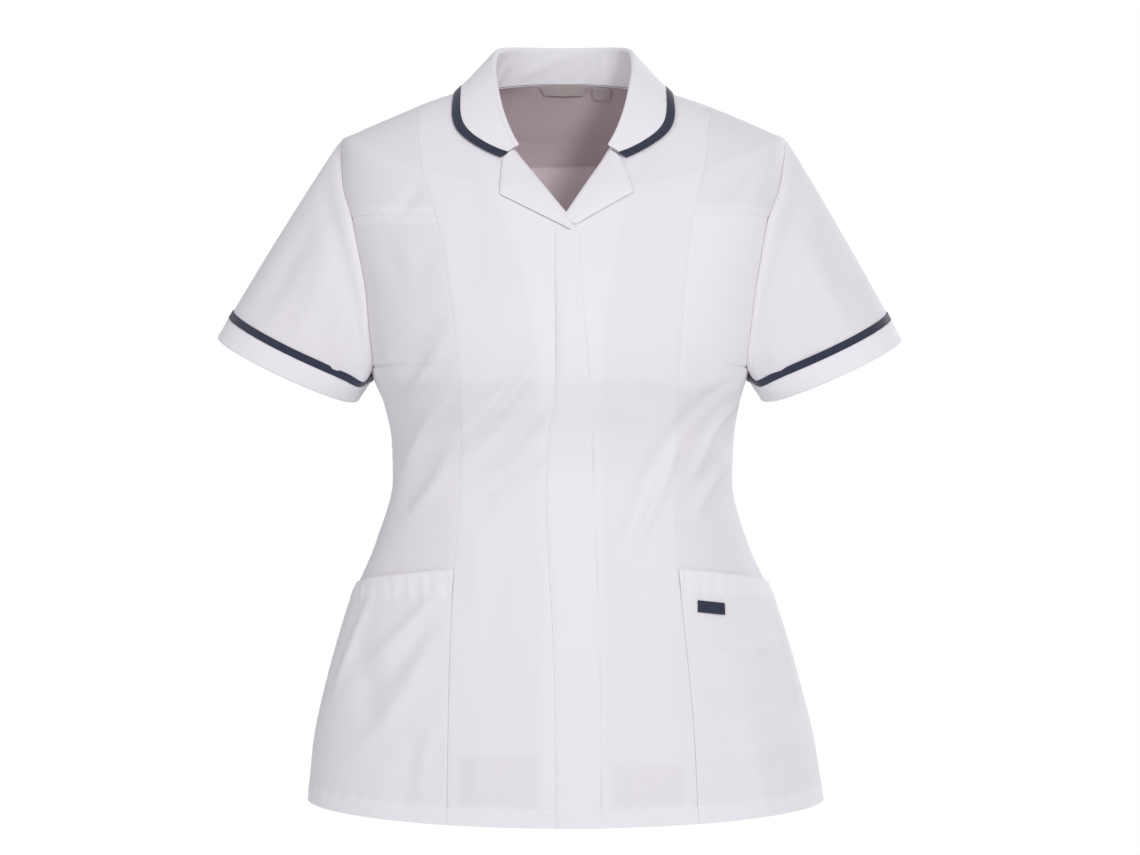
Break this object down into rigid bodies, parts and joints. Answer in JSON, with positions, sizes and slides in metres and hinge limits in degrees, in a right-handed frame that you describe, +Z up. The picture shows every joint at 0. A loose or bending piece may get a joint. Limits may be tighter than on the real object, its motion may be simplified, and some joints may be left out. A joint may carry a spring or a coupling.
{
  "type": "nurse's uniform tunic, worn with no wearer",
  "caption": "Hip-length short-sleeved healthcare tunic in white woven cloth, with a navy-edged rolled collar, navy sleeve tapes, a fly front and hip pockets, hollow as worn.",
  "frame": {"origin": "midway between the two points where the shoulder seams meet the neck, where the wearer's shoulders carry the tunic", "axes": "+X towards the wearer's left, -Y out of the front, +Z up"},
  "size_m": [0.6457, 0.2689, 0.728],
  "materials": {
    "white_cloth": "plain-woven polyester and cotton, matte, with a cool cast in the shade",
    "navy_tape": "woven navy tape, matte",
    "navy_tab": "dense woven navy label, plain",
    "label_tape": "woven beige-grey tape, slightly glossy, plain",
    "zip": "knitted white zip tape with a moulded chain"
  },
  "bodies": {
    "root": {"centre_front_right": "white_cloth", "centre_front_left": "white_cloth", "side_front_right": "white_cloth", "side_front_left": "white_cloth", "shoulder_front_right": "white_cloth", "shoulder_front_left": "white_cloth", "centre_back": "white_cloth", "side_back_right": "white_cloth", "side_back_left": "white_cloth", "back_yoke": "white_cloth", "lower_pocket_right": "white_cloth", "lower_pocket_left": "white_cloth", "chest_pocket_bag": "white_cloth", "fly": "white_cloth", "zip": "zip", "sleeve_right": "white_cloth", "sleeve_left": "white_cloth", "cuff_right": "white_cloth", "cuff_left": "white_cloth", "sleeve_tape_right": "navy_tape", "sleeve_tape_left": "navy_tape", "collar": "white_cloth", "collar_binding": "navy_tape", "lapel_right": "white_cloth", "lapel_left": "white_cloth", "hanger_loop": "label_tape", "size_tag": "label_tape", "pocket_tab": "navy_tab"}
  },
  "joints": []
}
